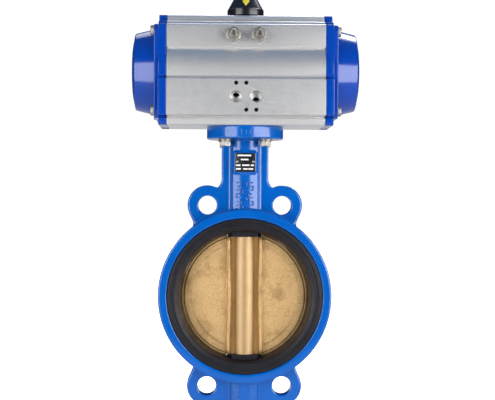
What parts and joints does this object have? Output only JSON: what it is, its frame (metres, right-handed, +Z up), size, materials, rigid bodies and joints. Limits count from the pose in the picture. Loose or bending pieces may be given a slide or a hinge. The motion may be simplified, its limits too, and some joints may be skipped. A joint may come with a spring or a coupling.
{
  "type": "rotary pneumatic actuator with butterfly valve",
  "caption": "Double-acting rack-and-pinion air actuator with rounded end caps and a position dome, bolted on a wafer butterfly valve whose disc it turns a quarter turn.",
  "frame": {"origin": "centre of the valve's bore, where the stem's axis crosses the pipe's axis", "axes": "+Z up the stem towards the position dome, +Y along the pipe away from the air ports, +X along the actuator's cylinder; -Y is the side with the air ports"},
  "size_m": [0.2804, 0.136, 0.509],
  "materials": {
    "valve_paint": "glossy light blue enamel on cast iron",
    "cap_paint": "glossy royal blue enamel on die-cast aluminium",
    "anodised": "clear hard-anodised, bead-blasted satin",
    "cast_aluminium": "as die-cast, machined where it slides",
    "bronze": "aluminium bronze, as cast with a machined rim",
    "stainless": "bright stainless steel",
    "plated": "nickel-plated steel",
    "liner_rubber": "satin black EPDM",
    "nitrile": "smooth black nitrile",
    "black_plastic": "glossy black moulding",
    "yellow_plastic": "glossy yellow insert",
    "bearing_plastic": "off-white acetal",
    "label_black": "black anodised plate with bare metal bars"
  },
  "bodies": {
    "housing": {"actuator_housing": "anodised", "end_cap_right": "cap_paint", "end_cap_left": "cap_paint", "end_cap_oring_right": "nitrile", "end_cap_oring_left": "nitrile", "end_cap_screw_right_1": "stainless", "end_cap_screw_right_2": "stainless", "end_cap_screw_right_3": "stainless", "end_cap_screw_right_4": "stainless", "end_cap_screw_left_1": "stainless", "end_cap_screw_left_2": "stainless", "end_cap_screw_left_3": "stainless", "end_cap_screw_left_4": "stainless", "travel_stop_screw_1": "stainless", "travel_stop_nut_1": "stainless", "travel_stop_screw_2": "stainless", "travel_stop_nut_2": "stainless", "pinion_lower_bush": "bearing_plastic", "pinion_upper_bush": "bearing_plastic", "pinion_thrust_washer": "bearing_plastic", "valve_body": "valve_paint", "seat_liner": "liner_rubber", "stem_upper_bush": "bearing_plastic", "stem_inner_bush": "bearing_plastic", "stem_lower_bush": "bearing_plastic", "stem_packing_ring": "nitrile", "stem_retaining_ring": "plated", "bottom_plug": "plated", "name_plate": "label_black", "name_plate_rivet_1": "stainless", "name_plate_rivet_2": "stainless", "flange_washer_1": "stainless", "flange_washer_2": "stainless", "flange_washer_3": "stainless", "flange_washer_4": "stainless", "flange_bolt_1": "stainless", "flange_bolt_2": "stainless", "flange_bolt_3": "stainless", "flange_bolt_4": "stainless"},
    "rotor": {"pinion": "plated", "pinion_lower_oring": "nitrile", "pinion_upper_oring": "nitrile", "pinion_snap_ring": "plated", "travel_cam": "plated", "position_indicator": "black_plastic", "indicator_marker_1": "yellow_plastic", "indicator_marker_2": "yellow_plastic", "indicator_screw": "stainless", "valve_stem": "stainless", "valve_disc": "bronze"},
    "right_piston": {"piston_right": "cast_aluminium", "piston_guide_band_right": "bearing_plastic", "piston_oring_right": "nitrile", "rack_guide_right": "bearing_plastic"},
    "left_piston": {"piston_left": "cast_aluminium", "piston_guide_band_left": "bearing_plastic", "piston_oring_left": "nitrile", "rack_guide_left": "bearing_plastic"}
  },
  "joints": [
    {"name": "stem_turn", "type": "hinge", "parent": "housing", "child": "rotor", "pos_m": [0, 0, 0], "axis": [0, 0, 1], "range_deg": [0, 90]},
    {"name": "right_piston_slide", "type": "slide", "parent": "housing", "child": "right_piston", "axis": [1, 0, 0], "range_m": [0, 0.0315]},
    {"name": "left_piston_slide", "type": "slide", "parent": "housing", "child": "left_piston", "axis": [-1, 0, 0], "range_m": [0, 0.0315]}
  ],
  "couplings": [
    {"joint": "right_piston_slide", "follows": "stem_turn", "m_per_rad": 0.02},
    {"joint": "left_piston_slide", "follows": "stem_turn", "m_per_rad": 0.02}
  ]
}
